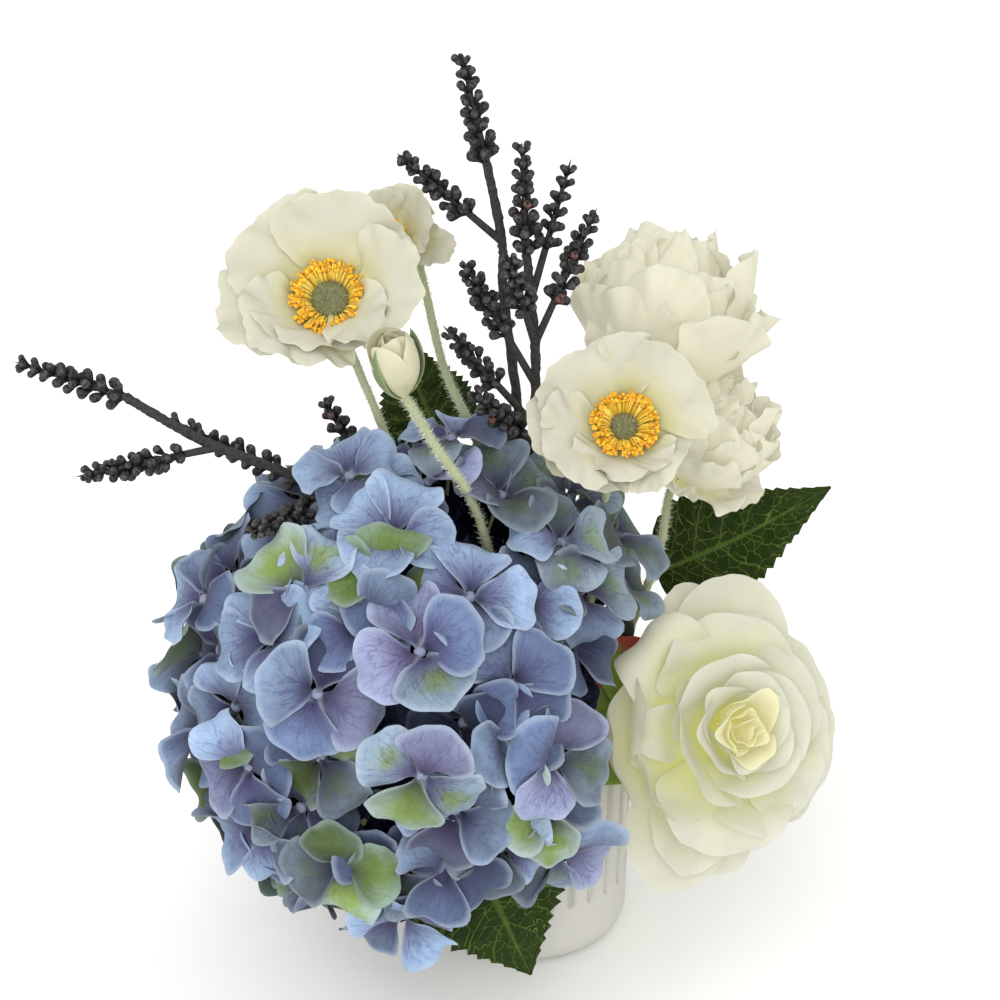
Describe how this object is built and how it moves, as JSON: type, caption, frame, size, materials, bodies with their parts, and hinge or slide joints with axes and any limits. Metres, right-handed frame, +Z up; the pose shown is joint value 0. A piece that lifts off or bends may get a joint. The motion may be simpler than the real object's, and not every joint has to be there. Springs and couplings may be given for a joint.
{
  "type": "artificial flower arrangement in a pot",
  "caption": "Silk mop-head hydrangea with a cream rose, poppies, ruffled blooms, dark berry sprays and toothed leaves, standing in a fluted white ceramic pot.",
  "frame": {"origin": "centre of the pot's flat underside", "axes": "+Z up, along the pot's axis; the blooms' fronts look along -Y, and the rose is on the +X side"},
  "size_m": [0.2852, 0.2364, 0.342],
  "materials": {
    "pot": "satin white ceramic with upright flutes",
    "filling": "dark matt foam filling",
    "floret": "printed silk petals, blue to lilac with lime patches and fine dark veins",
    "petal": "cream silk petals, yellow-green in their depths",
    "leaf": "dark green printed leaf cloth with a pale vein network",
    "berry": "matt blackish purple foam berries",
    "flower_stem": "pale green flocked hairs over plastic",
    "head_stem": "matt green plastic",
    "berry_stem": "rough blackish brown plastic"
  },
  "bodies": {
    "root": {"bud": "petal", "bud_stem": "flower_stem", "head_back": "floret", "head_back_left": "floret", "head_back_right": "floret", "head_front": "floret", "head_front_right": "floret", "head_left": "floret", "head_low_front": "floret", "head_low_left": "floret", "head_stalk_back": "head_stem", "head_stalk_front": "head_stem", "head_stalk_left": "head_stem", "head_stalk_low_front": "head_stem", "head_stalk_low_left": "head_stem", "head_stem": "head_stem", "head_top": "floret", "head_upper_back": "floret", "head_upper_back_right": "floret", "head_upper_front": "floret", "head_upper_left": "floret", "head_upper_right": "floret", "leaf_back": "leaf", "leaf_back_left": "leaf", "leaf_front": "leaf", "leaf_right": "leaf", "leaf_upper": "leaf", "poppy_left": "petal", "poppy_left_stem": "flower_stem", "poppy_right": "petal", "poppy_right_stem": "flower_stem", "poppy_small": "petal", "poppy_small_stem": "flower_stem", "pot": "pot", "pot_fill": "filling", "rose": "petal", "rose_stem": "flower_stem", "ruffled_right": "petal", "ruffled_right_stem": "flower_stem", "ruffled_top": "petal", "ruffled_top_stem": "flower_stem", "spray_back_stem": "berry_stem", "spray_back_tip": "berry", "spray_left_back": "berry", "spray_left_front": "berry", "spray_left_low": "berry", "spray_left_stem": "berry_stem", "spray_left_tip": "berry", "spray_middle_left": "berry", "spray_middle_left_low": "berry", "spray_middle_low": "berry", "spray_middle_right": "berry", "spray_middle_right_high": "berry", "spray_middle_stem": "berry_stem", "spray_middle_tip": "berry", "spray_tall_side": "berry", "spray_tall_stem": "berry_stem", "spray_tall_tip": "berry"}
  },
  "joints": []
}
